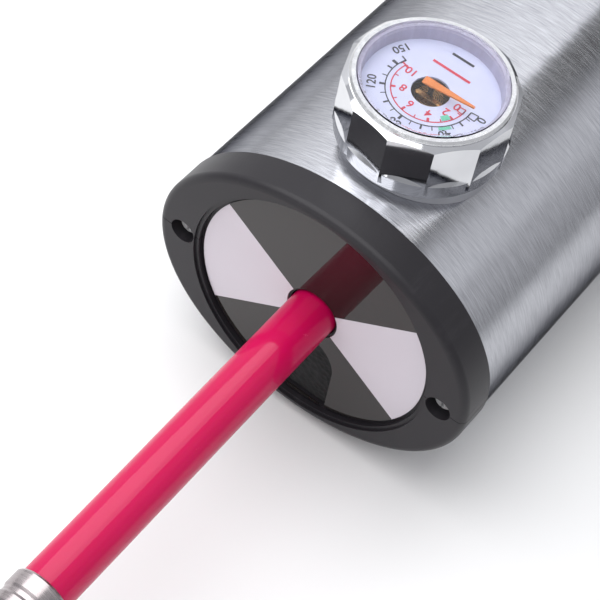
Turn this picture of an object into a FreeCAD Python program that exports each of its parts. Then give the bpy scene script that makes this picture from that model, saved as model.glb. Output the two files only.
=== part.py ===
import FreeCAD, Part
import os
import re
import Sketcher

# A hand-held 12 V air pump with an oval steel tube for a body.
# Local frame of every piece: X across the body, Y inward from the end face that the piece
# belongs to, Z up from the tube's axis.  The whole pump stands on its two rubber feet, with
# +Z up, the air hose leaving towards -Y and the origin at the centre of its footprint.

SIZES = {
    # body
    "overall_length": 180.0,
    "tube_width": 63.2,
    "tube_height": 50.8,
    "tube_wall": 0.8,
    "fit_gap": 0.1,
    "press_gap": 0.03,
    "foot_drop": 1.7,
    # end caps
    "cap_proud_side": 0.3,
    "cap_proud_top": 0.5,
    "cap_screw_inset": 4.8,
    "cap_depth": 7.0,
    "cap_plate": 4.0,
    "cap_round": 1.3,
    "cap_skirt": 6.0,
    "skirt_wall": 1.6,
    "parting_gap": 0.12,
    "cap_screw_bore": 1.45,
    "cap_screw_head": 2.2,
    "cap_screw_sink": 3.0,
    "screw_crown": 1.3,
    "screw_slot": 0.5,
    "bulkhead_start": 9.5,
    "bulkhead_thickness": 3.0,
    # front face
    "label_margin": 2.9,
    "label_gap": 0.6,
    "recess_step": 0.7,
    "label_thickness": 0.3,
    "label_depth": 1.3,
    "recess_step_depth": 0.5,
    "hose_gap": 0.7,
    "intake_width": 12.6,
    "intake_web": 1.05,
    "intake_margin": 0.6,
    "filter_thickness": 1.4,
    # air hose and its screw-on valve connector, measured along the hose from the label
    "hose_diameter": 8.9,
    "hose_bore": 5.0,
    "hose_droop": 2.5,
    "hose_inside": 7.6,
    "hose_reach": 66.8,
    "ferrule_wall": 0.65,
    "ferrule_length": 16.0,
    "ferrule_rings": 3,
    "ring_pitch": 3.2,
    "ferrule_grip": 12.0,
    "stem_bore": 2.4,
    "nut_diameter": 14.0,
    "nut_length": 19.0,
    "valve_thread": 7.7,
    "valve_depth": 9.0,
    # cylinder and head
    "head_start": 15.0,
    "head_length": 15.5,
    "head_side": 4.31,
    "head_cheek": 2.31,
    "port_diameter": 6.4,
    "spigot_wall": 4.0,
    "chamber_diameter": 10.4,
    "chamber_depth": 5.5,
    "bolt_offset": 2.7,
    "bolt_edge": 2.8,
    "bolt_diameter": 2.5,
    "bolt_head": 4.6,
    "bolt_head_height": 2.0,
    "bolt_play": 0.35,
    "bolt_grip": 3.0,
    "valve_plate": 1.0,
    "reed_thickness": 0.3,
    "bore_diameter": 18.0,
    "cylinder_wall": 2.0,
    "cylinder_length": 24.5,
    "fin_depth": 3.0,
    "fin_thickness": 1.1,
    "fin_pitch": 3.2,
    # piston and crank
    "piston_gap": 0.8,
    "piston_length": 10.0,
    "piston_clearance": 0.2,
    "piston_wall": 2.6,
    "piston_land": 1.2,
    "seal_depth": 2.0,
    "seal_width": 1.6,
    "seal_clearance": 0.05,
    "wrist_pin_drop": 5.8,
    "wrist_pin_diameter": 3.0,
    "wrist_pin_inset": 1.5,
    "pin_clearance": 0.05,
    "rod_length": 34.0,
    "rod_thickness": 4.0,
    "rod_shank": 3.6,
    "rod_rim": 2.0,
    "rod_small_rim": 1.5,
    "bush_wall": 1.0,
    "crank_throw": 6.0,
    "crank_pin_diameter": 4.0,
    "crank_pin_gap": 0.3,
    "crank_shaft_diameter": 4.0,
    "bearing_wall": 2.0,
    # gears
    "gear_module": 0.8,
    "gear_teeth": 40,
    "pinion_teeth": 10,
    "gear_face": 3.5,
    "gear_disc": 3.5,
    "tooth_play": 0.16,
    "gear_hub": 9.0,
    "gear_hub_height": 2.0,
    "gear_hole": 4.4,
    "gear_hole_reach": 9.6,
    # chassis
    "side_plate": 3.5,
    "side_inset": 11.0,
    "chassis_height": 26.0,
    "chassis_flange": 3.0,
    # motor
    "motor_diameter": 36.0,
    "motor_length": 50.0,
    "motor_wall": 1.2,
    "motor_shaft": 3.0,
    "motor_boss": 10.0,
    "magnet_thickness": 2.6,
    "rotor_gap": 0.7,
    "core_length": 28.0,
    "winding_reach": 5.0,
    "winding_inset": 1.6,
    "commutator_diameter": 8.4,
    "commutator_length": 4.6,
    "motor_screw_reach": 8.0,
    "end_bell": 4.0,
    # gauge
    "gauge_station": 24.8,
    "gauge_ridge": 14.6,
    "gauge_rise": 13.2,
    "gauge_chamfer": 0.9,
    "skirt_inset": 0.2,
    "skirt_lift": 1.4,
    "skirt_height": 4.3,
    "skirt_bevel": 1.3,
    "gasket_inset": 1.1,
    "gasket_width": 2.2,
    "gasket_thickness": 0.7,
    "gauge_depth": 7.6,
    "gauge_floor_thickness": 1.5,
    "case_wall": 2.0,
    "bezel_inset": 1.1,
    "bezel_height": 0.7,
    "crystal_wall": 1.0,
    "crystal_crown": 0.2,
    "crystal_plate": 0.9,
    "dial_depth": 2.8,
    "dial_thickness": 0.4,
    "dial_hole": 3.2,
    "pointer_length": 7.8,
    "pointer_tail": 1.6,
    "pointer_root": 1.6,
    "pointer_tip": 0.36,
    "pointer_lift": 1.65,
    "pointer_thickness": 0.3,
    "pointer_zero": 3.6,
    "gauge_stem_diameter": 6.4,
    # rear face
    "rear_recess": 4.0,
    "switch_width": 21.0,
    "switch_height": 15.0,
    "switch_rise": 9.6,
    "switch_bezel": 1.8,
    "switch_depth": 13.0,
    "switch_border": 2.5,
    "rocker_tilt": 8.0,
    "rocker_gap": 0.3,
    "gland_drop": 11.5,
    "gland_bore": 5.2,
    "gland_body": 8.0,
    "gland_lip": 1.5,
    # feet
    "foot_inset": 22.0,
    "foot_width": 32.0,
    "foot_length": 9.0,
    "foot_stem": 4.0,
}

# Sizes that follow from others and a named clearance.
FITS = {
    "cap_width": "tube_width + 2 * cap_proud_side",
    "cap_height": "tube_height + 2 * cap_proud_top",
    "cap_screw_reach": "tube_width / 2 - cap_screw_inset",
    "label_diameter": "cap_height - 2 * label_margin",
    "recess_diameter": "label_diameter + 2 * label_gap",
    "recess_step_diameter": "recess_diameter + 2 * recess_step",
    "hose_hole": "hose_diameter + 2 * hose_gap",
    "intake_top": "hose_hole / 2 + intake_web",
    "intake_bottom": "label_diameter / 2 - intake_margin",
    "ferrule_diameter": "hose_diameter + 2 * ferrule_wall",
    "spigot_diameter": "port_diameter + 2 * spigot_wall",
    "fin_diameter": "bore_diameter + 2 * cylinder_wall + 2 * fin_depth",
    "head_bolt_circle": "bore_diameter + 2 * cylinder_wall + 2 * bolt_offset",
    "bolt_reach": "head_bolt_circle / 2 * cos(45)",
    "flange_diameter": "head_bolt_circle + 2 * bolt_edge",
    "head_width": "2 * bolt_reach + 2 * head_side",
    "head_height": "2 * bolt_reach + 2 * head_cheek",
    "wrist_pin_length": "bore_diameter - 2 * wrist_pin_inset",
    "rod_eye": "crank_pin_diameter + 2 * bush_wall + 2 * rod_rim",
    "rod_small_eye": "wrist_pin_diameter + 2 * rod_small_rim",
    "bearing_diameter": "crank_shaft_diameter + 2 * bearing_wall",
    "core_diameter": "motor_diameter - 2 * (motor_wall + fit_gap + magnet_thickness + rotor_gap)",
    "gauge_top": "tube_height / 2 + gauge_rise",
    "gauge_floor": "gauge_top - gauge_depth",
    "dial_height": "gauge_top - dial_depth",
    "skirt_radius": "gauge_ridge - skirt_inset",
    "skirt_rim": "tube_height / 2 + skirt_lift",
    "skirt_top": "skirt_rim + skirt_height",
    "gauge_cavity": "gauge_ridge - case_wall",
    "bezel_radius": "gauge_ridge - bezel_inset",
    "crystal_radius": "gauge_cavity - 2 * fit_gap",
    "rocker_width": "switch_width - 2 * switch_border",
    "rocker_height": "switch_height - 2 * switch_border",
    "gland_flange": "gland_body + 2 * gland_lip",
}

doc = FreeCAD.newDocument("AirPump")
sheet = doc.addObject("Spreadsheet::Sheet", "Sizes")
rows = list(SIZES.items()) + [(alias, "=" + fit) for alias, fit in FITS.items()]
for row, (alias, content) in enumerate(rows, start=1):
    sheet.set("A%d" % row, alias)
    sheet.set("B%d" % row, str(content))
    sheet.setAlias("B%d" % row, alias)
doc.recompute()

X_AXIS = FreeCAD.Vector(1, 0, 0)
Y_AXIS = FreeCAD.Vector(0, 1, 0)
Z_AXIS = FreeCAD.Vector(0, 0, 1)
TURN = {
    "X": FreeCAD.Rotation(Y_AXIS, 90),
    "Y": FreeCAD.Rotation(X_AXIS, -90),
    "Z": FreeCAD.Rotation(),
}
pieces = []


# ---------------------------------------------------------------- helpers

def formula(text):
    """Point every size name in an expression at the spreadsheet."""
    def swap(match):
        word = match.group(0)
        return "Sizes." + word if word in SIZES or word in FITS else word
    return re.sub(r"[a-z_]{3,}", swap, str(text))


def bind(thing, prop, text):
    thing.setExpression(prop, formula(text))


def place(thing, at):
    for letter, text in zip("xyz", at):
        if str(text) != "0":
            bind(thing, "Placement.Base." + letter, text)


def cylinder(axis, radius, length, at=("0", "0", "0"), angle=None):
    thing = doc.addObject("Part::Cylinder", "Round")
    thing.Placement = FreeCAD.Placement(FreeCAD.Vector(), TURN[axis])
    bind(thing, "Radius", radius)
    bind(thing, "Height", length)
    if angle is not None:
        bind(thing, "Angle", angle)
    place(thing, at)
    return thing


def block(low, size):
    thing = doc.addObject("Part::Box", "Block")
    for prop, text in zip(("Length", "Width", "Height"), size):
        bind(thing, prop, text)
    place(thing, low)
    return thing


def centred_block(centre, size):
    """A box centred across X and Z, and starting at its Y."""
    x, y, z = centre
    wide, deep, tall = size
    low = ("(%s) - (%s) / 2" % (x, wide), y, "(%s) - (%s) / 2" % (z, tall))
    return block(low, size)


def oval(width, height, start, length):
    """A solid oval bar along Y."""
    ring = doc.addObject("Part::Ellipse", "Oval")
    ring.Placement = FreeCAD.Placement(FreeCAD.Vector(), FreeCAD.Rotation(X_AXIS, 90))
    bind(ring, "MajorRadius", "(%s) / 2" % width)
    bind(ring, "MinorRadius", "(%s) / 2" % height)
    place(ring, ("0", start, "0"))
    bar = doc.addObject("Part::Extrusion", "OvalBar")
    bar.Base = ring
    bar.DirMode = "Custom"
    bar.Dir = Y_AXIS
    bar.Solid = True
    bind(bar, "LengthFwd", length)
    return bar


def boolean(kind, things):
    result = doc.addObject(kind, "Joined")
    result.Shapes = list(things)
    return result


def fuse(*things):
    return boolean("Part::MultiFuse", things)


def common(*things):
    return boolean("Part::MultiCommon", things)


def cut(base, *tools):
    result = doc.addObject("Part::Cut", "Machined")
    result.Base = base
    result.Tool = tools[0] if len(tools) == 1 else fuse(*tools)
    return result


def group(*things):
    result = doc.addObject("Part::Compound", "Group")
    result.Links = list(things)
    return result


def origin_feature(body, role):
    return [item for item in body.Origin.OriginFeatures if item.Role == role][0]


def new_sketch(body, plane, offset="0"):
    sketch = body.newObject("Sketcher::SketchObject", "Sketch")
    sketch.AttachmentSupport = [(origin_feature(body, plane), "")]
    sketch.MapMode = "FlatFace"
    if str(offset) != "0":
        bind(sketch, "AttachmentOffset.Base.z", offset)
    return sketch


def outline(sketch, corners):
    """Closed straight-sided outline whose corners follow expressions."""
    count = len(corners)
    circle = Part.Circle(FreeCAD.Vector(), Z_AXIS, 10)
    spots = [circle.value(6.283 * index / count) for index in range(count)]
    for index in range(count):
        sketch.addGeometry(Part.LineSegment(spots[index], spots[(index + 1) % count]), False)
    for index in range(count):
        sketch.addConstraint(Sketcher.Constraint("Coincident", index, 2, (index + 1) % count, 1))
    for index, corner in enumerate(corners):
        for way, start, text in zip(("DistanceX", "DistanceY"), spots[index], corner):
            number = sketch.addConstraint(Sketcher.Constraint(way, -1, 1, index, 1, start))
            bind(sketch, "Constraints[%d]" % number, text)


def turned(axis, corners, at=("0", "0", "0")):
    """A turned body from (radius, station) corners."""
    body = doc.addObject("PartDesign::Body", "Turned")
    plane = "XZ_Plane" if axis == "Z" else "XY_Plane"
    sketch = new_sketch(body, plane)
    if axis == "X":
        corners = [(station, radius) for radius, station in corners]
    outline(sketch, corners)
    spin = body.newObject("PartDesign::Revolution", "Spin")
    spin.Profile = sketch
    spin.ReferenceAxis = (sketch, ["H_Axis" if axis == "X" else "V_Axis"])
    spin.Angle = 360
    sketch.Visibility = False
    place(body, at)
    return body


def tube_ring(axis, outer, inner, start, length, at=("0", "0", "0")):
    end = "(%s) + (%s)" % (start, length)
    return turned(axis, [(inner, start), (outer, start), (outer, end), (inner, end)], at)


def padded(plane, corners, start, length, at=("0", "0", "0")):
    """A plate of the given outline; on XZ it grows along +Y, on XY along +Z."""
    body = doc.addObject("PartDesign::Body", "Plate")
    flip = plane == "XZ_Plane"
    sketch = new_sketch(body, plane, "-(%s)" % start if flip else start)
    outline(sketch, corners)
    pad = body.newObject("PartDesign::Pad", "Pad")
    pad.Profile = sketch
    pad.Reversed = flip
    bind(pad, "Length", length)
    place(body, at)
    return body


def patterned(body, feature, role, count):
    """Repeat a feature of a body evenly round one of its axes."""
    pattern = body.newObject("PartDesign::PolarPattern", "Pattern")
    pattern.Originals = [feature]
    pattern.Axis = (origin_feature(body, role), [""])
    pattern.Angle = 360
    bind(pattern, "Occurrences", count)
    body.Tip = pattern


def filleted(thing, radius, wanted):
    """Round the edges that the test picks."""
    doc.recompute()
    result = doc.addObject("Part::Fillet", "Rounded")
    result.Base = thing
    size = float(sheet.get(radius))
    picked = [n for n, edge in enumerate(thing.Shape.Edges, start=1) if wanted(edge)]
    result.Edges = [(n, size, size) for n in picked]
    return result


AXIS_HEIGHT = "cap_height / 2 + foot_drop"


def piece(label, thing, where="front"):
    """Name a finished sub-part and carry it from its local frame to the pump's frame."""
    if thing.ExpressionEngine:
        thing = group(thing)
    if where == "rear":
        thing.Placement = FreeCAD.Placement(FreeCAD.Vector(), FreeCAD.Rotation(Z_AXIS, 180))
        station = "overall_length / 2"
    elif where == "hose":
        droop = float(sheet.get("hose_droop"))
        thing.Placement = FreeCAD.Placement(FreeCAD.Vector(), FreeCAD.Rotation(X_AXIS, droop))
        station = "label_depth - overall_length / 2"
    else:
        station = "-overall_length / 2"
    bind(thing, "Placement.Base.y", station)
    bind(thing, "Placement.Base.z", AXIS_HEIGHT)
    thing.Label = label
    pieces.append(thing)


# ---------------------------------------------------------------- tube and feet

INNER_WIDTH = "tube_width - 2 * tube_wall"
INNER_HEIGHT = "tube_height - 2 * tube_wall"
FOOT_STATIONS = {"front_foot": "foot_inset", "rear_foot": "overall_length - foot_inset"}
STEM_REACH = "foot_width / 4"


def body_tube():
    start = "cap_depth"
    length = "overall_length - 2 * cap_depth"
    bar = oval("tube_width", "tube_height", start, length)
    hollow = oval(INNER_WIDTH, INNER_HEIGHT, start, length)
    gauge_hole = cylinder("Z", "gauge_stem_diameter / 2 + 4", "tube_height",
                          ("0", "gauge_station", "0"))
    tools = [hollow, gauge_hole]
    for station in FOOT_STATIONS.values():
        for side in ("-", ""):
            tools.append(cylinder("Z", "foot_stem / 2 + fit_gap", "tube_height / 2",
                                  (side + "(%s)" % STEM_REACH, station, "-tube_height / 2")))
    piece("body_tube", cut(bar, *tools))


def foot(label, station):
    """A moulded rubber bar that follows the tube above and is flat below."""
    sole = centred_block(("0", "%s - foot_length / 2" % station, "0"),
                         ("foot_width", "foot_length", "2 * (%s)" % AXIS_HEIGHT))
    lower = centred_block(("0", "%s - foot_length / 2" % station, "-(%s)" % AXIS_HEIGHT),
                          ("foot_width + 2", "foot_length", "tube_height"))
    seat = oval("tube_width + 2 * fit_gap", "tube_height + 2 * fit_gap", "0", "overall_length")
    pad = cut(common(sole, lower), seat)
    stems = []
    for side in ("-", ""):
        reach = side + "(%s)" % STEM_REACH
        stems.append(cylinder("Z", "foot_stem / 2", "5", (reach, station, "-tube_height / 2")))
        stems.append(cylinder("Z", "foot_stem / 2 + 0.9", "1.4",
                              (reach, station, "-tube_height / 2 + 3.6")))
    piece(label, fuse(pad, *stems))


# ---------------------------------------------------------------- end caps

SKIRT_WIDTH = "%s - 2 * fit_gap" % INNER_WIDTH
SKIRT_HEIGHT = "%s - 2 * fit_gap" % INNER_HEIGHT
NEST_WIDTH = "%s - 2 * skirt_wall" % SKIRT_WIDTH
NEST_HEIGHT = "%s - 2 * skirt_wall" % SKIRT_HEIGHT
BULK_WIDTH = "%s - 2 * fit_gap" % NEST_WIDTH
BULK_HEIGHT = "%s - 2 * fit_gap" % NEST_HEIGHT


def intake_window(start, length, margin="0"):
    """The arch-topped air intake below the hose."""
    radius = "intake_width / 2 - (%s)" % margin
    crown = "-(intake_top + intake_width / 2)"
    arch = cylinder("Y", radius, length, ("0", start, crown))
    sill = "-(intake_bottom) + (%s)" % margin
    sides = block(("-(%s)" % radius, start, sill),
                  ("2 * (%s)" % radius, length, "(%s) - (%s)" % (crown, sill)))
    return fuse(arch, sides)


def cap_shell(plate, front_tools):
    """The whole cap before it is parted into its two halves."""
    band = oval("cap_width", "cap_height", "0", "cap_depth")
    crest = filleted(band, "cap_round", lambda edge: edge.BoundBox.YMax < 0.001)
    skirt = oval(SKIRT_WIDTH, SKIRT_HEIGHT, "cap_depth", "cap_skirt")
    nest = oval(NEST_WIDTH, NEST_HEIGHT, plate, "cap_depth + cap_skirt")
    tools = [nest]
    for side in ("-", ""):
        reach = side + "cap_screw_reach"
        tools.append(cylinder("Y", "cap_screw_bore + fit_gap", "cap_depth", (reach, "0", "0")))
        tools.append(cylinder("Y", "cap_screw_head + 2 * fit_gap", "cap_screw_sink",
                              (reach, "0", "0")))
    return cut(fuse(crest, skirt), *(tools + front_tools))


def cap_halves(shell, names, where):
    """Part the cap along its wide axis, with a hairline gap between the halves."""
    span = "cap_width + 4"
    deep = "cap_depth + cap_skirt + 4"
    upper = block(("-(%s) / 2" % span, "-2", "parting_gap / 2"), (span, deep, "cap_height"))
    lower = block(("-(%s) / 2" % span, "-2", "-cap_height - parting_gap / 2"),
                  (span, deep, "cap_height"))
    piece(names[0], common(shell, upper), where)
    piece(names[1], common(shell, lower), where)


def cap_screws(label, where):
    """Two pan-head screws that hold both halves to the bulkhead."""
    screws = []
    for side in ("-", ""):
        head = turned("Y", [
            ("0", "cap_screw_sink - screw_crown"),
            ("cap_screw_head * 0.7", "cap_screw_sink - screw_crown"),
            ("cap_screw_head", "cap_screw_sink - screw_crown / 2"),
            ("cap_screw_head", "cap_screw_sink"),
            ("cap_screw_bore", "cap_screw_sink"),
            ("cap_screw_bore", "bulkhead_start + bulkhead_thickness"),
            ("0", "bulkhead_start + bulkhead_thickness"),
        ], (side + "cap_screw_reach", "0", "0"))
        reach = side + "cap_screw_reach"
        face = "cap_screw_sink - screw_crown - 0.2"
        long_slot = centred_block((reach, face, "0"),
                                  ("cap_screw_head * 1.1", "screw_slot + 0.4", "screw_slot"))
        tall_slot = centred_block((reach, face, "0"),
                                  ("screw_slot", "screw_slot + 0.4", "cap_screw_head * 1.1"))
        screws.append(cut(head, long_slot, tall_slot))
    piece(label, group(*screws), where)


def bulkhead(label, where, tools):
    """The oval plate that nests in both cap skirts and takes the cap screws."""
    plate = oval(BULK_WIDTH, BULK_HEIGHT, "bulkhead_start", "bulkhead_thickness")
    for side in ("-", ""):
        tools.append(cylinder("Y", "cap_screw_bore", "bulkhead_thickness + 2",
                              (side + "cap_screw_reach", "bulkhead_start - 1", "0")))
    piece(label, cut(plate, *tools), where)


def front_end():
    label_back = "label_depth + label_thickness"
    shell = cap_shell("cap_plate", [
        cylinder("Y", "recess_step_diameter / 2", "recess_step_depth"),
        cylinder("Y", "recess_diameter / 2", label_back),
        cylinder("Y", "hose_hole / 2 + 0.4", "cap_depth"),
        intake_window("0", "cap_depth"),
    ])
    cap_halves(shell, ("front_cap_upper", "front_cap_lower"), "front")
    cap_screws("front_cap_screws", "front")
    disc = cylinder("Y", "label_diameter / 2", "label_thickness", ("0", "label_depth", "0"))
    piece("label_disc", cut(disc,
                            cylinder("Y", "hose_hole / 2", "cap_depth"),
                            intake_window("0", "cap_depth")))
    mesh = intake_window("label_depth + label_thickness + 0.6", "filter_thickness", "fit_gap")
    piece("intake_filter", mesh)
    grommet_end = "cap_plate + 1.2"
    piece("hose_grommet", turned("Y", [
        ("hose_diameter / 2 + 0.3", label_back),
        ("hose_hole / 2 + 0.3", label_back),
        ("hose_hole / 2 + 0.3", "cap_plate + 0.05"),
        ("hose_hole / 2 + 1.9", "cap_plate + 0.05"),
        ("hose_hole / 2 + 1.9", grommet_end),
        ("hose_diameter / 2 + 0.3", grommet_end),
    ]))
    vents = [
        cylinder("Y", "spigot_diameter / 2 + fit_gap", "bulkhead_thickness + 2",
                 ("0", "bulkhead_start - 1", "0")),
        centred_block(("0", "bulkhead_start - 1", "-16.5"),
                      ("14", "bulkhead_thickness + 2", "7")),
    ]
    bulkhead("front_bulkhead", "front", vents)


# ---------------------------------------------------------------- cylinder head

HEAD_END = "head_start + head_length"
CYLINDER_START = HEAD_END + " + valve_plate"
BOLT_HOLE = "bolt_diameter / 2 + bolt_play"
TAPPED_HOLE = "bolt_diameter / 2 + pin_clearance"


def head_bolts(radius, start, length):
    """Four places on the bolt circle."""
    rods = []
    for across in ("-", ""):
        for up in ("-", ""):
            spot = (across + "bolt_reach", start, up + "bolt_reach")
            rods.append(cylinder("Y", radius, length, spot))
    return rods


def cylinder_head():
    casting = centred_block(("0", "head_start", "0"),
                            ("head_width", "head_length", "head_height"))
    rounded = filleted(casting, "skirt_wall",
                       lambda edge: abs(edge.tangentAt(edge.FirstParameter).y) > 0.99)
    spigot = cylinder("Y", "spigot_diameter / 2", "head_start - bulkhead_start",
                      ("0", "bulkhead_start", "0"))
    tools = [
        cylinder("Y", "port_diameter / 2", "head_length", ("0", "bulkhead_start - 1", "0")),
        cylinder("Y", "chamber_diameter / 2", "chamber_depth + 1",
                 ("0", HEAD_END + " - chamber_depth", "0")),
        cylinder("Z", "gauge_stem_diameter / 2 + fit_gap", "head_height",
                 ("0", "gauge_station", "4")),
    ]
    tools += head_bolts(BOLT_HOLE, "head_start - 1", "head_length + 2")
    piece("cylinder_head", cut(fuse(rounded, spigot), *tools))


def valves():
    plate = centred_block(("0", HEAD_END, "0"), ("head_width", "valve_plate", "head_height"))
    holes = head_bolts(BOLT_HOLE, HEAD_END + " - 1", "valve_plate + 2")
    holes.append(cylinder("Y", "1.4", "valve_plate + 2", ("2.6", HEAD_END + " - 1", "0")))
    holes.append(cylinder("Y", "1.4", "valve_plate + 2", ("-5", HEAD_END + " - 1", "0")))
    piece("valve_plate", cut(plate, *holes))
    outlet = centred_block(("1", HEAD_END + " - reed_thickness", "0"),
                           ("7.6", "reed_thickness", "3.6"))
    intake = centred_block(("-3.4", CYLINDER_START, "0"), ("8", "reed_thickness", "3.6"))
    piece("valve_reeds", group(outlet, intake))


def pump_cylinder():
    """Finned cylinder with a square-cornered flange at its head end."""
    bore = "bore_diameter / 2"
    wall = "bore_diameter / 2 + cylinder_wall"
    corners = [(bore, CYLINDER_START), ("flange_diameter / 2", CYLINDER_START),
               ("flange_diameter / 2", CYLINDER_START + " + bolt_grip"),
               (wall, CYLINDER_START + " + bolt_grip")]
    for number in range(1, 6):
        start = CYLINDER_START + " + 2.6 + %d * fin_pitch" % number
        corners += [(wall, start), ("fin_diameter / 2", start),
                    ("fin_diameter / 2", start + " + fin_thickness"),
                    (wall, start + " + fin_thickness")]
    end = CYLINDER_START + " + cylinder_length"
    rim = "fin_diameter / 2"
    corners += [(wall, end + " - 2"), (rim, end + " - 2"), (rim, end), (bore, end)]
    body = turned("Y", corners)
    holes = head_bolts(TAPPED_HOLE, CYLINDER_START + " - 1", "bolt_grip + 2")
    piece("pump_cylinder", cut(body, *holes))


def head_screws():
    """Four screws through the head and the valve plate into the cylinder's flange."""
    heads = head_bolts("bolt_head / 2", "head_start - bolt_head_height", "bolt_head_height")
    shanks = head_bolts("bolt_diameter / 2", "head_start - 0.5",
                        "head_length + valve_plate + bolt_grip")
    screws = [fuse(head, shank) for head, shank in zip(heads, shanks)]
    piece("head_screws", group(*screws))


# ---------------------------------------------------------------- piston and crank

PISTON_START = CYLINDER_START + " + piston_gap"
WRIST = PISTON_START + " + wrist_pin_drop"
CRANK_CENTRE = WRIST + " + rod_length + crank_throw"
BIG_END = WRIST + " + rod_length"


def piston():
    crown = "bore_diameter / 2 - piston_clearance"
    land = PISTON_START + " + piston_land"
    groove = "bore_diameter / 2 - seal_depth"
    inside = "bore_diameter / 2 - piston_clearance - piston_wall"
    end = PISTON_START + " + piston_length"
    hollow = WRIST + " - rod_small_eye / 2 - 0.4"
    body = turned("Y", [
        ("0", PISTON_START), (crown, PISTON_START), (crown, land), (groove, land),
        (groove, land + " + seal_width"), (crown, land + " + seal_width"), (crown, end),
        (inside, end), (inside, hollow), ("0", hollow),
    ])
    bore = cylinder("X", "wrist_pin_diameter / 2 + press_gap", "bore_diameter",
                    ("-bore_diameter / 2", WRIST, "0"))
    piece("piston", cut(body, bore))
    piece("piston_seal", tube_ring("Y", "bore_diameter / 2 - seal_clearance", groove,
                                   land, "seal_width"))
    piece("wrist_pin", cylinder("X", "wrist_pin_diameter / 2", "wrist_pin_length",
                                ("-wrist_pin_length / 2", WRIST, "0")))


def connecting_rod():
    half = "rod_thickness / 2"
    small = cylinder("X", "rod_small_eye / 2", "rod_thickness", ("-" + half, WRIST, "0"))
    big = cylinder("X", "rod_eye / 2", "rod_thickness", ("-" + half, BIG_END, "0"))
    shank = centred_block(("0", WRIST, "0"), ("rod_thickness", "rod_length", "rod_shank"))
    small_bore = cylinder("X", "wrist_pin_diameter / 2 + pin_clearance", "rod_thickness + 2",
                          ("-%s - 1" % half, WRIST, "0"))
    big_bore = cylinder("X", "crank_pin_diameter / 2 + bush_wall + press_gap", "rod_thickness + 2",
                        ("-%s - 1" % half, BIG_END, "0"))
    piece("connecting_rod", cut(fuse(small, big, shank), small_bore, big_bore))
    piece("big_end_bush", tube_ring("X", "crank_pin_diameter / 2 + bush_wall",
                                    "crank_pin_diameter / 2 + pin_clearance",
                                    "-" + half, "rod_thickness", ("0", BIG_END, "0")))


GEAR_RADIUS = "gear_module * gear_teeth / 2"
PINION_RADIUS = "gear_module * pinion_teeth / 2"
GEAR_FACE_X = "-(%s) - 1.25 * gear_module" % PINION_RADIUS
GEAR_BACK_X = GEAR_FACE_X + " - gear_disc"
TOOTH = "3.1416 * gear_module / 2 - 2 * tooth_play"


def crank_gear():
    """Crown gear: straight trapezium teeth on the rim of a disc, facing the pinion."""
    rim = "%s + gear_face / 2" % GEAR_RADIUS
    bore = "crank_shaft_diameter / 2 + press_gap"
    body = turned("X", [
        (bore, GEAR_BACK_X + " - gear_hub_height"), ("gear_hub / 2", GEAR_BACK_X + " - gear_hub_height"),
        ("gear_hub / 2", GEAR_BACK_X), (rim, GEAR_BACK_X), (rim, GEAR_FACE_X), (bore, GEAR_FACE_X),
    ])
    root = "(%s) / 2 + 1.25 * gear_module * 0.36" % TOOTH
    tip = "(%s) / 2 - 0.8 * gear_module * 0.36" % TOOTH
    tip_x = "-(%s) + 0.8 * gear_module" % PINION_RADIUS
    sketch = new_sketch(body, "XZ_Plane", "-(%s - gear_face / 2)" % GEAR_RADIUS)
    outline(sketch, [(GEAR_FACE_X + " - 0.2", "-(%s)" % root), (tip_x, "-(%s)" % tip),
                     (tip_x, tip), (GEAR_FACE_X + " - 0.2", root)])
    tooth = body.newObject("PartDesign::Pad", "Tooth")
    tooth.Profile = sketch
    tooth.Reversed = True
    bind(tooth, "Length", "gear_face")
    patterned(body, tooth, "X_Axis", "gear_teeth")
    half_pitch = 180.0 / float(sheet.get("gear_teeth"))
    body.Placement = FreeCAD.Placement(FreeCAD.Vector(), FreeCAD.Rotation(X_AXIS, half_pitch))
    place(body, ("0", CRANK_CENTRE, "0"))
    holes = []
    for angle in (0, 90, 180, 270):
        spot = FreeCAD.Rotation(X_AXIS, angle + 45).multVec(Y_AXIS)
        holes.append(cylinder("X", "gear_hole / 2", "gear_disc + 2", (
            GEAR_BACK_X + " - 1", "%s + %.4f * gear_hole_reach" % (CRANK_CENTRE, spot.y),
            "%.4f * gear_hole_reach" % spot.z)))
    piece("crank_gear", cut(body, *holes))


def crank():
    pin_start = GEAR_FACE_X
    pin_length = "-(%s) - rod_thickness / 2 - crank_pin_gap" % GEAR_FACE_X
    piece("crank_pin", cylinder("X", "crank_pin_diameter / 2", pin_length,
                                (pin_start, BIG_END, "0")))
    tail = "-(side_inset + side_plate + 1.2)"
    piece("crank_shaft", cylinder("X", "crank_shaft_diameter / 2",
                                  "(%s) - (%s)" % (GEAR_FACE_X, tail),
                                  (tail, CRANK_CENTRE, "0")))
    piece("crank_bearing", tube_ring("X", "bearing_diameter / 2",
                                     "crank_shaft_diameter / 2 + pin_clearance",
                                     "-(side_inset + side_plate)", "side_plate",
                                     ("0", CRANK_CENTRE, "0")))


CHASSIS_START = CYLINDER_START + " + cylinder_length"
MESH_STATION = CRANK_CENTRE + " + " + GEAR_RADIUS
MOTOR_FACE = MESH_STATION + " + gear_face / 2 + 1.2 + chassis_flange"


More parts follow.
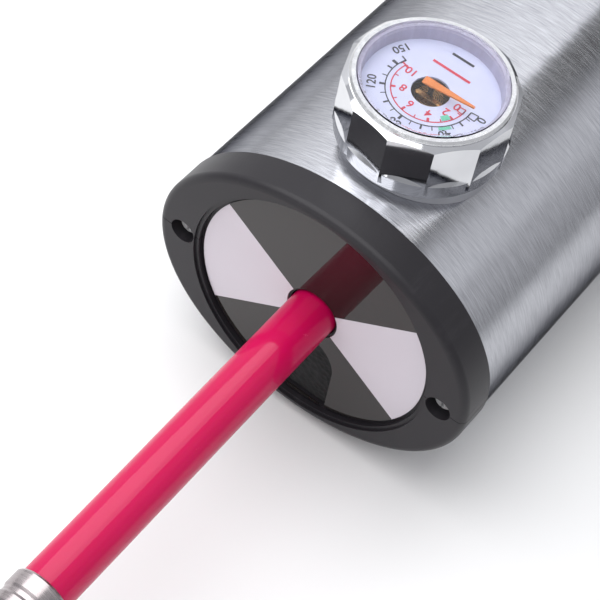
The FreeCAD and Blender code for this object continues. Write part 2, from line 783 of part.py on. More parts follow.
def chassis():
    """Two side plates between a cylinder flange and a motor flange, cast in one."""
    length = "(%s) - (%s)" % (MOTOR_FACE, CHASSIS_START)
    wide = "2 * (side_inset + side_plate)"
    outer = centred_block(("0", CHASSIS_START, "0"), (wide, length, "chassis_height"))
    inner = centred_block(("0", CHASSIS_START + " + chassis_flange", "0"),
                          ("2 * side_inset", length + " - 2 * chassis_flange",
                           "chassis_height + 2"))
    tools = [
        inner,
        cylinder("Y", "bore_diameter / 2", "chassis_flange + 2",
                 ("0", CHASSIS_START + " - 1", "0")),
        cylinder("Y", "motor_boss / 2 + fit_gap", "chassis_flange + 2",
                 ("0", MOTOR_FACE + " - chassis_flange - 1", "0")),
        cylinder("X", "bearing_diameter / 2 + press_gap", "side_plate + 2",
                 ("-(side_inset + side_plate + 1)", CRANK_CENTRE, "0")),
        cylinder("X", "7", "side_plate + 2", ("side_inset - 1", CRANK_CENTRE, "0")),
    ]
    for side in ("-", ""):
        tools.append(cylinder("Y", BOLT_HOLE, "chassis_flange + 2",
                              (side + "motor_screw_reach", MOTOR_FACE + " - chassis_flange - 1",
                               "0")))
    piece("gear_chassis", cut(outer, *tools))


# ---------------------------------------------------------------- motor

def motor_pinion():
    root = PINION_RADIUS + " - 1.15 * gear_module"
    start = MESH_STATION + " - gear_face / 2"
    body = tube_ring("Y", root, "motor_shaft / 2", start, "gear_face")
    sketch = new_sketch(body, "XZ_Plane", "-(%s)" % start)
    foot_half = "(%s) / 2 + 0.4 * gear_module" % TOOTH
    tip_half = "(%s) / 2 - 0.28 * gear_module" % TOOTH
    tip = "-(%s) - 0.8 * gear_module" % PINION_RADIUS
    inside = "-(%s) + 0.4" % root
    outline(sketch, [(inside, "-(%s)" % foot_half), (tip, "-(%s)" % tip_half),
                     (tip, tip_half), (inside, foot_half)])
    tooth = body.newObject("PartDesign::Pad", "Tooth")
    tooth.Profile = sketch
    tooth.Reversed = True
    bind(tooth, "Length", "gear_face")
    patterned(body, tooth, "Y_Axis", "pinion_teeth")
    piece("motor_pinion", body)


CORE_START = MOTOR_FACE + " + (motor_length - core_length) / 2"
CORE_END = CORE_START + " + core_length"
BELL_START = MOTOR_FACE + " + motor_length"


def motor():
    can = "motor_diameter / 2"
    skin = "motor_diameter / 2 - motor_wall"
    boss = "motor_boss / 2"
    bush = "motor_boss / 2 - 2"
    front = MOTOR_FACE + " - chassis_flange + 0.2"
    piece("motor_can", cut(turned("Y", [
        (bush, front), (boss, front), (boss, MOTOR_FACE), (can, MOTOR_FACE), (can, BELL_START),
        (skin, BELL_START), (skin, MOTOR_FACE + " + 1.5"), (bush, MOTOR_FACE + " + 1.5"),
    ]), *[cylinder("Y", TAPPED_HOLE, "4", (side + "motor_screw_reach", MOTOR_FACE + " - 1", "0"))
          for side in ("-", "")]))
    screws = []
    for side in ("-", ""):
        reach = side + "motor_screw_reach"
        head = cylinder("Y", "bolt_head / 2", "1", (reach, MOTOR_FACE + " - chassis_flange - 1", "0"))
        shank = cylinder("Y", "bolt_diameter / 2", "chassis_flange + 1.5",
                         (reach, MOTOR_FACE + " - chassis_flange", "0"))
        screws.append(fuse(head, shank))
    piece("motor_screws", group(*screws))
    front_bush = tube_ring("Y", bush, "motor_shaft / 2 + pin_clearance", front, "4")
    rear_bush = tube_ring("Y", bush, "motor_shaft / 2 + pin_clearance", BELL_START, "end_bell")
    piece("motor_bushes", group(front_bush, rear_bush))
    sectors = []
    for side in ("", "-"):
        angle = "140"
        outer = cylinder("Y", skin + " - fit_gap", "core_length + 8",
                         ("0", CORE_START + " - 4", "0"), angle)
        turn = FreeCAD.Rotation(Y_AXIS, 70 if side else 250)
        outer.Placement = FreeCAD.Placement(FreeCAD.Vector(), turn.multiply(TURN["Y"]))
        place(outer, ("0", CORE_START + " - 4", "0"))
        inner = cylinder("Y", skin + " - fit_gap - magnet_thickness", "core_length + 10",
                         ("0", CORE_START + " - 5", "0"))
        sectors.append(cut(outer, inner))
    piece("motor_magnets", group(*sectors))
    piece("armature_shaft", cylinder("Y", "motor_shaft / 2", "motor_length + end_bell + 10.5",
                                     ("0", MESH_STATION + " - gear_face / 2 - 0.4", "0")))
    core = tube_ring("Y", "core_diameter / 2", "motor_shaft / 2", CORE_START, "core_length")
    sketch = new_sketch(core, "XZ_Plane", "-(%s) + 1" % CORE_START)
    outline(sketch, [("core_diameter / 2 - 7", "-1.6"), ("core_diameter / 2 + 1", "-1"),
                     ("core_diameter / 2 + 1", "1"), ("core_diameter / 2 - 7", "1.6")])
    slot = core.newObject("PartDesign::Pocket", "Slot")
    slot.Profile = sketch
    slot.Reversed = False
    bind(slot, "Length", "core_length + 2")
    patterned(core, slot, "Y_Axis", "5")
    piece("armature_core", core)
    ends = [tube_ring("Y", "core_diameter / 2 - winding_inset", "motor_shaft / 2 + 1.2",
                      start, "winding_reach")
            for start in (CORE_START + " - winding_reach", CORE_END)]
    piece("armature_windings", group(*ends))
    piece("commutator", tube_ring("Y", "commutator_diameter / 2", "motor_shaft / 2",
                                  CORE_END + " + winding_reach", "commutator_length"))
    brushes = [block((low, CORE_END + " + winding_reach + 0.6", "-1.5"), ("5", "3.2", "3"))
               for low in ("commutator_diameter / 2 + 0.3", "-commutator_diameter / 2 - 5.3")]
    piece("motor_brushes", group(*brushes))
    bell = turned("Y", [(bush, BELL_START), (can, BELL_START),
                        (can, BELL_START + " + end_bell"), (bush, BELL_START + " + end_bell")])
    holders = [block((low, CORE_END + " + winding_reach + 0.2", "-2.6"),
                     ("4", "%s - (%s) - winding_reach - 0.2" % (BELL_START, CORE_END), "1"))
               for low in ("commutator_diameter / 2 + 1", "-commutator_diameter / 2 - 5")]
    piece("motor_end_bell", fuse(bell, *holders))


# ---------------------------------------------------------------- pressure gauge

GAUGE_AT = ("0", "gauge_station", "0")


def gauge_case():
    """Twelve-sided chrome housing with a chamfered top, on a round skirt and a recessed gasket."""
    nut = doc.addObject("Part::Prism", "Facets")
    nut.Polygon = 12
    bind(nut, "Circumradius", "gauge_ridge")
    bind(nut, "Height", "gauge_top - skirt_rim - 1")
    nut.Placement = FreeCAD.Placement(FreeCAD.Vector(), FreeCAD.Rotation(Z_AXIS, 6))
    place(nut, ("0", "gauge_station", "skirt_rim + 1"))
    limit = turned("Z", [
        ("0", "skirt_rim"), ("gauge_ridge + 0.2", "skirt_rim"),
        ("gauge_ridge + 0.2", "gauge_top - gauge_chamfer"),
        ("bezel_radius + 0.1", "gauge_top"), ("0", "gauge_top"),
    ], GAUGE_AT)
    flare = turned("Z", [
        ("0", "skirt_rim"), ("skirt_radius - 0.2", "skirt_rim"),
        ("skirt_radius", "skirt_rim + 0.3"), ("skirt_radius + 0.1", "skirt_top - skirt_bevel"),
        ("gauge_ridge - 0.75", "skirt_top"), ("0", "skirt_top"),
    ], GAUGE_AT)
    cavity = cylinder("Z", "gauge_cavity", "gauge_top",
                      ("0", "gauge_station", "gauge_floor"))
    stem_hole = cylinder("Z", "gauge_stem_diameter / 2 + fit_gap", "gauge_top", GAUGE_AT)
    under = cylinder("Z", "skirt_radius - gasket_inset - gasket_width",
                     "gauge_floor - gauge_floor_thickness", GAUGE_AT)
    piece("gauge_housing", cut(fuse(common(nut, limit), flare), cavity, stem_hole, under))
    ring = cut(cylinder("Z", "skirt_radius - gasket_inset", "skirt_rim", GAUGE_AT),
               cylinder("Z", "skirt_radius - gasket_inset - gasket_width", "gauge_top", GAUGE_AT))
    tube = oval("tube_width + fit_gap", "tube_height + fit_gap", "-1", "2 * gauge_station + 2")
    piece("gauge_gasket", cut(ring, tube))


def gauge_front():
    top = "gauge_top + bezel_height"
    inner = "crystal_radius + 0.05"
    piece("gauge_bezel", turned("Z", [
        (inner, "gauge_top"), ("bezel_radius", "gauge_top"),
        ("bezel_radius", "gauge_top + bezel_height * 0.5"),
        ("bezel_radius - 0.35", top), (inner, top),
    ], GAUGE_AT))
    window = "crystal_radius - crystal_wall"
    crown = top + " + crystal_crown"
    under = crown + " - crystal_plate"
    piece("gauge_crystal", turned("Z", [
        ("0", under), (window + " - 0.3", under), (window, under + " - 0.3"),
        (window, "dial_height"), ("crystal_radius", "dial_height"),
        ("crystal_radius", top + " - 0.15"), ("crystal_radius - 0.5", top + " - 0.15"),
        ("crystal_radius - 0.7", crown), ("0", crown),
    ], GAUGE_AT))
    piece("gauge_dial", tube_ring("Z", "crystal_radius", "dial_hole",
                                  "dial_height - dial_thickness", "dial_thickness", GAUGE_AT))


def gauge_needle():
    blade = padded("XY_Plane", [
        ("-pointer_tail", "-pointer_root / 2 + 0.1"), ("-pointer_tail + 0.4", "-pointer_root / 2"),
        ("pointer_length", "-pointer_tip / 2"), ("pointer_length", "pointer_tip / 2"),
        ("-pointer_tail + 0.4", "pointer_root / 2"), ("-pointer_tail", "pointer_root / 2 - 0.1"),
    ], "dial_height + pointer_lift", "pointer_thickness")
    spindle = cylinder("Z", "0.45", "pointer_lift + 2.6", ("0", "0", "dial_height - 2.5"))
    hub = cylinder("Z", "0.7", "0.7", ("0", "0", "dial_height + pointer_lift - 0.6"))
    needle = fuse(blade, spindle, hub)
    zero = float(sheet.get("pointer_zero"))
    needle.Placement = FreeCAD.Placement(FreeCAD.Vector(), FreeCAD.Rotation(Z_AXIS, zero))
    place(needle, GAUGE_AT)
    piece("gauge_pointer", needle)


def gauge_works():
    bar = block(("-9.5", "gauge_station - 1.6", "dial_height - 3"), ("19", "3.2", "0.8"))
    posts = [cylinder("Z", "1.2", "dial_height - 3 - gauge_floor",
                      (side + "8", "gauge_station", "gauge_floor")) for side in ("-", "")]
    pivot = cylinder("Z", "0.45 + pin_clearance", "3",
                     ("0", "gauge_station", "dial_height - 4"))
    piece("gauge_movement", cut(fuse(bar, *posts), pivot))
    coil = doc.addObject("Part::Torus", "Bourdon")
    coil.Radius2 = 0.8
    bind(coil, "Radius1", "gauge_cavity - 2.2")
    coil.Angle3 = 255
    coil.Placement = FreeCAD.Placement(FreeCAD.Vector(), FreeCAD.Rotation(Z_AXIS, 140))
    place(coil, ("0", "gauge_station", "gauge_floor + 0.95"))
    piece("bourdon_tube", coil)
    stem = "gauge_stem_diameter / 2"
    piece("gauge_stem", turned("Z", [
        ("1", "6"), (stem, "6"), (stem, "head_height / 2 + 0.1"), ("6", "head_height / 2 + 0.1"),
        ("6", "head_height / 2 + 3"), (stem, "head_height / 2 + 3"),
        (stem, "gauge_floor + 1.6"), ("1", "gauge_floor + 1.6"),
    ], GAUGE_AT))
    piece("gauge_nut", turned("Z", [
        (stem + " + 0.05", "gauge_floor"), ("5.2", "gauge_floor"), ("5.2", "gauge_floor + 1.2"),
        (stem + " + 0.05", "gauge_floor + 1.2"),
    ], GAUGE_AT))


# ---------------------------------------------------------------- hose and valve connector

HOSE_END = "hose_reach + ferrule_grip"
FERRULE_END = "hose_reach + ferrule_length"


def forward(corners):
    """Stations along the hose run away from the pump."""
    return [(radius, "-(%s)" % station) for radius, station in corners]


def air_line():
    hose = "hose_diameter / 2"
    bore = "hose_bore / 2"
    piece("air_hose", turned("Y", forward([
        (bore, "-hose_inside"), (hose, "-hose_inside"), (hose, HOSE_END), (bore, HOSE_END),
    ])), "hose")
    barb = "hose_bore / 2 - fit_gap"
    piece("hose_barb", turned("Y", forward([
        ("1.2", "-16"), ("port_diameter / 2 - 0.9", "-16"), ("port_diameter / 2 - 0.9", "-8.6"),
        (barb, "-8.6"), (barb, "-2.5"), (barb + " - 0.6", "-1.5"), ("1.2", "-1.5"),
    ])), "hose")
    shell = "ferrule_diameter / 2"
    grip = hose + " + 0.05"
    corners = [(grip, "hose_reach"), (shell + " - 0.3", "hose_reach"),
               (shell, "hose_reach + 0.4")]
    for number in range(int(sheet.get("ferrule_rings"))):
        start = "hose_reach + 3 + ring_pitch * %d" % number
        corners += [(shell, start), (shell + " - 0.25", start + " + 0.5"),
                    (shell + " - 0.25", start + " + 1.3"), (shell, start + " + 1.8")]
    corners += [(shell, FERRULE_END + " - 0.6"), (shell + " - 0.6", FERRULE_END),
                ("stem_bore + 0.05", FERRULE_END), ("stem_bore + 0.05", HOSE_END),
                (grip, HOSE_END)]
    piece("hose_ferrule", turned("Y", forward(corners)), "hose")


NUT_START = FERRULE_END + " + 0.6"
NUT_END = NUT_START + " + nut_length"
THREAD_START = NUT_END + " - valve_depth"


def valve_connector():
    """Swivelling screw-on connector for a tyre valve."""
    flange_end = THREAD_START + " - 2.4"
    flange_start = flange_end + " - 2.2"
    stem = turned("Y", forward([
        ("1.1", "hose_reach + 2"), ("stem_bore", "hose_reach + 2"), ("stem_bore", flange_start),
        ("4.4", flange_start), ("4.4", flange_end), ("0.7", flange_end),
        ("0.7", flange_end + " + 2.2"), ("0", flange_end + " + 2.2"),
        ("0", flange_start), ("1.1", flange_start),
    ]))
    piece("chuck_stem", stem, "hose")
    piece("chuck_nut", turned("Y", forward([
        ("stem_bore + 0.08", NUT_START), ("nut_diameter / 2 - 1", NUT_START),
        ("nut_diameter / 2", NUT_START + " + 1"), ("nut_diameter / 2", NUT_END + " - 1"),
        ("nut_diameter / 2 - 1", NUT_END), ("valve_thread / 2", NUT_END),
        ("valve_thread / 2", THREAD_START), ("4.7", THREAD_START),
        ("4.7", flange_start + " - 0.3"), ("stem_bore + 0.08", flange_start + " - 0.3"),
    ])), "hose")
    piece("chuck_seal", turned("Y", forward([
        ("1.5", flange_end), ("4.4", flange_end), ("4.4", flange_end + " + 2"),
        ("1.5", flange_end + " + 2"),
    ])), "hose")


# ---------------------------------------------------------------- rear end

def rear_end():
    floor = "rear_recess"
    plate = "rear_recess + 3"
    cut_width = "switch_width - 2"
    cut_height = "switch_height - 2"
    switch_at = ("0", "0", "switch_rise")
    shell = cap_shell(plate, [
        cylinder("Y", "recess_diameter / 2", floor),
        centred_block(switch_at, (cut_width, "2 * cap_depth", cut_height)),
        cylinder("Y", "gland_body / 2 + fit_gap", "2 * cap_depth", ("0", "0", "-gland_drop")),
    ])
    cap_halves(shell, ("rear_cap_upper", "rear_cap_lower"), "rear")
    cap_screws("rear_cap_screws", "rear")
    bulkhead("rear_bulkhead", "rear", [
        centred_block(("0", "bulkhead_start - 1", "switch_rise"),
                      ("switch_width + 3", "bulkhead_thickness + 2", "switch_height + 3")),
        cylinder("Y", "gland_flange / 2 + 1", "bulkhead_thickness + 2",
                 ("0", "bulkhead_start - 1", "-gland_drop")),
    ])
    gland = "gland_bore / 2"
    body = "gland_body / 2"
    lip = "gland_flange / 2"
    piece("lead_gland", turned("Y", [
        (gland, "rear_recess - 3"), (body, "rear_recess - 3"), (lip, "rear_recess - 1.2"),
        (lip, "rear_recess"), (body, "rear_recess"), (body, plate + " + 0.05"),
        (body + " + 0.9", plate + " + 0.05"), (body + " + 0.4", plate + " + 2"),
        (gland, plate + " + 2"),
    ], ("0", "0", "-gland_drop")), "rear")
    frame = centred_block(("0", "rear_recess - switch_bezel", "switch_rise"),
                          ("switch_width", "switch_bezel", "switch_height"))
    barrel = centred_block(("0", "rear_recess", "switch_rise"),
                           (cut_width + " - 2 * fit_gap", "switch_depth",
                            cut_height + " - 2 * fit_gap"))
    well = centred_block(("0", "0", "switch_rise"),
                         ("rocker_width + 1.6", PIVOT + " + 4.2", "rocker_height + 2 * rocker_gap"))
    hinge = cylinder("Z", "1 + pin_clearance", "rocker_height + 1.8",
                     ("0", PIVOT, "switch_rise - (rocker_height + 1.8) / 2"))
    piece("switch_body", cut(fuse(frame, barrel), well, hinge), "rear")
    tail = "rear_recess + switch_depth"
    blades = [centred_block((side + "5.5", tail, "switch_rise"), ("0.8", "6", "4.8"))
              for side in ("-", "")]
    piece("switch_terminals", group(*blades), "rear")


PIVOT = "rear_recess + 1.2"


def rocker():
    """Rocker with two faces that slope up to its ends, lying on its OFF side."""
    half = "rocker_width / 2"
    rise = "3.2 + %s * tan(rocker_tilt)" % half
    body = padded("XY_Plane", [
        ("-" + half, "1.4"), ("0", "2.8"), (half, "1.4"), (half, "-(%s)" % rise),
        ("0", "-3.2"), ("-" + half, "-(%s)" % rise),
    ], "-rocker_height / 2", "rocker_height")
    trunnion = cylinder("Z", "1", "rocker_height + 1.4", ("0", "0", "-(rocker_height + 1.4) / 2"))
    key = fuse(body, trunnion)
    tilt = float(sheet.get("rocker_tilt"))
    key.Placement = FreeCAD.Placement(FreeCAD.Vector(), FreeCAD.Rotation(Z_AXIS, tilt))
    place(key, ("0", PIVOT, "switch_rise"))
    piece("switch_rocker", key, "rear")


# ---------------------------------------------------------------- build

body_tube()
for name, where_along in FOOT_STATIONS.items():
    foot(name, where_along)
front_end()
cylinder_head()
valves()
pump_cylinder()
head_screws()
piston()
connecting_rod()
crank_gear()
crank()
chassis()
motor_pinion()
motor()
gauge_case()
gauge_front()
gauge_needle()
gauge_works()
air_line()
valve_connector()
rear_end()
rocker()

doc.recompute()
faults = [item.Label for item in doc.Objects if "Invalid" in item.State or "Error" in item.State]
for item in pieces:
    if item.Shape.isNull() or not item.Shape.isValid() or not item.Shape.Solids:
        faults.append(item.Label)
if faults:
    raise RuntimeError("failed objects: " + ", ".join(faults))
os.makedirs("parts", exist_ok=True)
for item in pieces:
    item.Shape.exportStep(os.path.join("parts", item.Label + ".step"))
print(len(pieces), "pieces written")
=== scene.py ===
import math
import bmesh
import bpy
from mathutils import Matrix, Vector


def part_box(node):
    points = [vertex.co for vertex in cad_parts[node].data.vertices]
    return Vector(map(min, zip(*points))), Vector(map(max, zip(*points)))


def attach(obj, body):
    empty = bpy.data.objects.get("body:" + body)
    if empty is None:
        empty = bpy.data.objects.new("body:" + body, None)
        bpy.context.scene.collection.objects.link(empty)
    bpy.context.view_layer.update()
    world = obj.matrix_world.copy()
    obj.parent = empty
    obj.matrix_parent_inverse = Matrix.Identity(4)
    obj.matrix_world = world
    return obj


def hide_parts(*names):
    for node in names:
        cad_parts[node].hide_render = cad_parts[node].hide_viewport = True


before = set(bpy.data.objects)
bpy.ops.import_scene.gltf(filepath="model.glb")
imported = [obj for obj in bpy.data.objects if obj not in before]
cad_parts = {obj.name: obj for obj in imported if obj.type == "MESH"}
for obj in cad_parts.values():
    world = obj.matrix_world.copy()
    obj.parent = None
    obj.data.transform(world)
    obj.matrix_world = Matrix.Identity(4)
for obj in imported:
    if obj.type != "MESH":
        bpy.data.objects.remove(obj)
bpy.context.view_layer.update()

# A hand-held 12 V air pump: oval brushed steel tube, black end caps, a dial gauge on top, a
# short red air hose with a crimped connector, and a round glossy label on the front cap.

MM = 0.001


# ---------------------------------------------------------------- places, from the frame

def middle(node):
    """The centre of a node's box."""
    low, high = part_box(node)
    return (low + high) / 2


TUBE_CENTRE = middle("body_tube")
LABEL_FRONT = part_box("label_disc")[0].y
DIAL_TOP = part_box("gauge_dial")[1].z
GAUGE_CENTRE = middle("gauge_dial")
CRYSTAL_LOW, CRYSTAL_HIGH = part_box("gauge_crystal")
CRYSTAL_RADIUS = (CRYSTAL_HIGH.x - CRYSTAL_LOW.x) / 2


# ---------------------------------------------------------------- camera

CAMERA_PLACE = Vector((88.71, -265.15, 294.39)) * MM
CAMERA_AZIMUTH = math.radians(27.386)
CAMERA_ELEVATION = math.radians(53.191)
CAMERA_ROLL = math.radians(12.27)
CAMERA_LENS = 119.6


def direction(azimuth, elevation):
    """The way from the object to something at this azimuth and elevation, in radians."""
    level = math.cos(elevation)
    return Vector((math.sin(azimuth) * level, -math.cos(azimuth) * level, math.sin(elevation)))


def add_camera():
    """The photograph's camera, solved from the outlines of the cap, the tube and the gauge."""
    data = bpy.data.cameras.new("camera")
    data.lens = CAMERA_LENS
    data.clip_start = 0.01
    camera = bpy.data.objects.new("camera", data)
    back = direction(CAMERA_AZIMUTH, CAMERA_ELEVATION)
    level_right = Vector((0, 0, 1)).cross(back).normalized()
    level_up = back.cross(level_right)
    right = level_right * math.cos(CAMERA_ROLL) + level_up * math.sin(CAMERA_ROLL)
    up = back.cross(right)
    facing = Matrix((right, up, back)).transposed().to_4x4()
    camera.matrix_world = Matrix.Translation(CAMERA_PLACE) @ facing
    bpy.context.scene.collection.objects.link(camera)
    bpy.context.scene.camera = camera


# ---------------------------------------------------------------- air hose

HOSE_EXIT = Vector((0, LABEL_FRONT, TUBE_CENTRE.z))
HOSE_DROOP = math.radians(2.5)
HOSE_WAY = Vector((0, -math.cos(HOSE_DROOP), -math.sin(HOSE_DROOP)))
HOSE_DIAMETER = 8.9 * MM
HOSE_STATIONS = (-7.6 * MM, 0.0, 33.4 * MM, 66.8 * MM, 78.8 * MM)


def along_hose(station):
    """The point on the hose's line this far from the label."""
    return HOSE_EXIT + HOSE_WAY * station


def add_hose():
    data = bpy.data.curves.new("air_hose_skin", "CURVE")
    data.dimensions = "3D"
    spline = data.splines.new("NURBS")
    spline.points.add(len(HOSE_STATIONS) - 1)
    for point, station in zip(spline.points, HOSE_STATIONS):
        point.co = (*along_hose(station), 1)
    spline.order_u = 3
    spline.use_endpoint_u = True
    data.resolution_u = 16
    data.bevel_depth = HOSE_DIAMETER / 2
    data.bevel_resolution = 16
    data.use_fill_caps = True
    data.materials.append(hose_red())
    hose = bpy.data.objects.new("air_hose_skin", data)
    bpy.context.scene.collection.objects.link(hose)
    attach(hose, "pump_body")
    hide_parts("air_hose")


# ---------------------------------------------------------------- materials

def paint(code):
    """Linear RGBA of a colour written as six hex digits."""
    parts = [int(code[place:place + 2], 16) / 255 for place in (0, 2, 4)]
    linear = [c / 12.92 if c <= 0.04045 else ((c + 0.055) / 1.055) ** 2.4 for c in parts]
    return (*linear, 1.0)


class Finish:
    """A Principled material being built; its patterns are laid out in the part's own metres."""

    def __init__(self, name, **sockets):
        self.material = bpy.data.materials.new(name)
        self.material.use_nodes = True
        self.tree = self.material.node_tree
        self.shader = self.tree.nodes["Principled BSDF"]
        self.place = self.add("ShaderNodeTexCoord").outputs["Object"]
        for socket, value in sockets.items():
            self.set(socket.replace("_", " "), value)

    def set(self, socket, value):
        """Give a shader socket a constant, or link an output to it."""
        self.fill(self.shader.inputs[socket], value)

    def fill(self, socket, value):
        if isinstance(value, bpy.types.NodeSocket):
            self.tree.links.new(value, socket)
        else:
            socket.default_value = value

    def add(self, kind, inputs=(), **settings):
        made = self.tree.nodes.new(kind)
        for name, value in settings.items():
            setattr(made, name, value)
        for name, value in dict(inputs).items():
            self.fill(made.inputs[name], value)
        return made

    def math(self, operation, first, second=0.0):
        return self.add("ShaderNodeMath", {0: first, 1: second}, operation=operation).outputs[0]

    def spread(self, x, y, z):
        """Object coordinates with this many pattern cells to the metre each way."""
        return self.add("ShaderNodeMapping", {"Vector": self.place, "Scale": (x, y, z)}).outputs[0]

    def noise(self, x, y, z, detail=3.0, rough=0.5):
        inputs = {"Vector": self.spread(x, y, z), "Scale": 1.0, "Detail": detail,
                  "Roughness": rough}
        return self.add("ShaderNodeTexNoise", inputs).outputs["Fac"]

    def grain(self, per_metre, detail=3.0, rough=0.5):
        return self.noise(per_metre, per_metre, per_metre, detail, rough)

    def span(self, value, low, high, start=0.0, end=1.0):
        """Value carried from start..end to low..high."""
        inputs = {"Value": value, "From Min": start, "From Max": end, "To Min": low, "To Max": high}
        return self.add("ShaderNodeMapRange", inputs).outputs[0]

    def blend(self, factor, first, second):
        made = self.add("ShaderNodeMix", data_type="RGBA")
        for index, value in ((0, factor), (6, first), (7, second)):
            self.fill(made.inputs[index], value)
        return made.outputs[2]

    def bump(self, *layers):
        """Stack (height, depth in millimetres) layers into the shader's normal."""
        normal = None
        for height, depth in layers:
            inputs = {"Height": height, "Distance": depth * MM, "Strength": 1.0}
            if normal is not None:
                inputs["Normal"] = normal
            normal = self.add("ShaderNodeBump", inputs).outputs[0]
        self.set("Normal", normal)


def part_of(place, finish):
    """The three coordinates of a pattern's place."""
    return finish.add("ShaderNodeSeparateXYZ", {0: place}).outputs


def brushed_tube():
    """Stainless steel, brushed round the tube."""
    f = Finish("brushed_stainless", Metallic=1.0, Anisotropic=0.9, Anisotropic_Rotation=0.25,
               Specular_Tint=paint("26262a"))
    f.set("Tangent", f.add("ShaderNodeTangent", direction_type="RADIAL", axis="Y").outputs[0])
    hair = f.noise(300, 8000, 300, 2.0, 0.6)
    streak = f.noise(240, 5000, 240, 1.0, 0.6)
    cloud = f.grain(45, 2.0)
    shade = f.math("ADD", f.span(hair, -0.26, 0.26, 0.3, 0.7),
                   f.span(streak, -0.14, 0.14, 0.3, 0.7))
    f.set("Base Color", f.blend(f.math("ADD", shade, 0.5), paint("a4a5aa"), paint("d8d9de")))
    f.set("Roughness", f.math("ADD", f.span(streak, 0.19, 0.23, 0.3, 0.7),
                              f.span(cloud, -0.02, 0.02)))
    f.bump((hair, 0.0012))
    return f.material


def moulded_black(name="moulded_black", tone="201e22", rough=0.40):
    """Satin black plastic with a fine spark-eroded grain and a few scuffs."""
    f = Finish(name, Specular_IOR_Level=0.3)
    pits = f.grain(2600, 2.0)
    flow = f.grain(60, 3.0)
    scuff = f.noise(300, 40, 300, 6.0, 0.75)
    f.set("Base Color", f.blend(f.span(scuff, 0.0, 0.25, 0.55, 0.8), paint(tone), paint("464347")))
    f.set("Roughness", f.math("ADD", f.span(flow, rough - 0.04, rough + 0.05),
                              f.span(scuff, 0.0, 0.12, 0.55, 0.75)))
    f.bump((pits, 0.012), (flow, 0.02))
    return f.material


WEDGE_HALF_ANGLE = math.radians(33.5)


def label_print():
    """Gloss black print with two bare white wedges, to the left and right of the hose."""
    f = Finish("label_print", Roughness=0.5, Specular_IOR_Level=0.0, Coat_Weight=1.0,
               Coat_Roughness=0.02, Coat_IOR=1.5)
    x, _, z = part_of(f.place, f)
    rise = f.math("ABSOLUTE", f.math("SUBTRACT", z, TUBE_CENTRE.z))
    slope = math.tan(WEDGE_HALF_ANGLE)
    side = f.math("SUBTRACT", f.math("MULTIPLY", f.math("ABSOLUTE", x), slope), rise)
    white = f.span(side, 0.0, 1.0, -0.05 * MM, 0.05 * MM)
    wave = f.grain(90, 2.0)
    f.set("Base Color", f.blend(white, paint("211d1c"), paint("c6c0c8")))
    f.bump((wave, 0.05))
    return f.material


def hose_red():
    """Glossy crimson polyurethane."""
    f = Finish("hose_crimson", Roughness=0.4, Specular_IOR_Level=0.1, Coat_Weight=0.45,
               Coat_Roughness=0.05, Subsurface_Weight=0.15, Subsurface_Scale=0.003)
    f.set("Subsurface Radius", (1.0, 0.2, 0.25))
    cloud = f.noise(120, 40, 120, 3.0)
    speck = f.grain(900, 2.0, 0.7)
    deep = f.blend(cloud, paint("b00042"), paint("bf064e"))
    f.set("Base Color", f.blend(f.span(speck, 0.0, 0.5, 0.72, 0.8), deep, paint("cf4a72")))
    f.bump((cloud, 0.02), (speck, 0.004))
    return f.material


def turned_metal(name, dark, light, rough=0.28, along=(60, 3000, 60), metallic=1.0):
    """Bright metal with fine turning lines."""
    f = Finish(name, Metallic=metallic)
    lines = f.noise(*along, 3.0, 0.6)
    stain = f.grain(140, 3.0, 0.6)
    f.set("Base Color", f.blend(f.math("MULTIPLY", lines, stain), paint(dark), paint(light)))
    f.set("Roughness", f.math("ADD", f.span(lines, rough - 0.07, rough + 0.07, 0.3, 0.7),
                              f.span(stain, -0.04, 0.05)))
    f.bump((lines, 0.006))
    return f.material


def polished_chrome():
    """Mirror chrome with faint waves and a few hairline marks."""
    f = Finish("polished_chrome", Metallic=1.0)
    wave = f.grain(160, 2.0)
    mark = f.noise(2400, 500, 900, 5.0, 0.8)
    f.set("Base Color", f.blend(wave, paint("c2c3c7"), paint("dcdde0")))
    f.set("Roughness", f.math("ADD", f.span(wave, 0.03, 0.08), f.span(mark, 0.0, 0.25, 0.66, 0.8)))
    f.bump((wave, 0.02), (mark, 0.001))
    return f.material


def clear_crystal():
    """Clear moulded acrylic with a trace of haze."""
    f = Finish("clear_crystal", Transmission_Weight=1.0, IOR=1.38)
    haze = f.grain(700, 3.0, 0.7)
    f.set("Base Color", f.blend(haze, paint("f4f5fd"), paint("ffffff")))
    f.set("Roughness", f.span(haze, 0.0, 0.05, 0.55, 0.9))
    return f.material


def dial_face():
    f = Finish("dial_face", Roughness=0.35)
    tint = f.grain(250, 2.0)
    fleck = f.grain(3200, 2.0, 0.7)
    base = f.blend(tint, paint("d3d7f0"), paint("e0e3f5"))
    f.set("Base Color", f.blend(f.span(fleck, 0.0, 0.3, 0.7, 0.8), base, paint("b9bad4")))
    f.bump((fleck, 0.002))
    return f.material


def pointer_finish():
    """Orange paint on the pointer's blade, bare dark bronze on its spindle below."""
    f = Finish("pointer_paint", Roughness=0.4)
    _, _, z = part_of(f.place, f)
    blade = f.span(z, 0.0, 1.0, DIAL_TOP + 1.50 * MM, DIAL_TOP + 1.55 * MM)
    orange = f.blend(f.grain(1800, 3.0, 0.7), paint("ea7d2f"), paint("f2964a"))
    f.set("Base Color", f.blend(blade, paint("3a2b20"), orange))
    f.bump((f.grain(2600, 2.0), 0.004))
    return f.material


def ink(name, code, light):
    """Printed ink, a little uneven."""
    f = Finish(name, Roughness=0.4)
    f.set("Base Color", f.blend(f.grain(1800, 3.0, 0.7), paint(code), paint(light)))
    return f.material


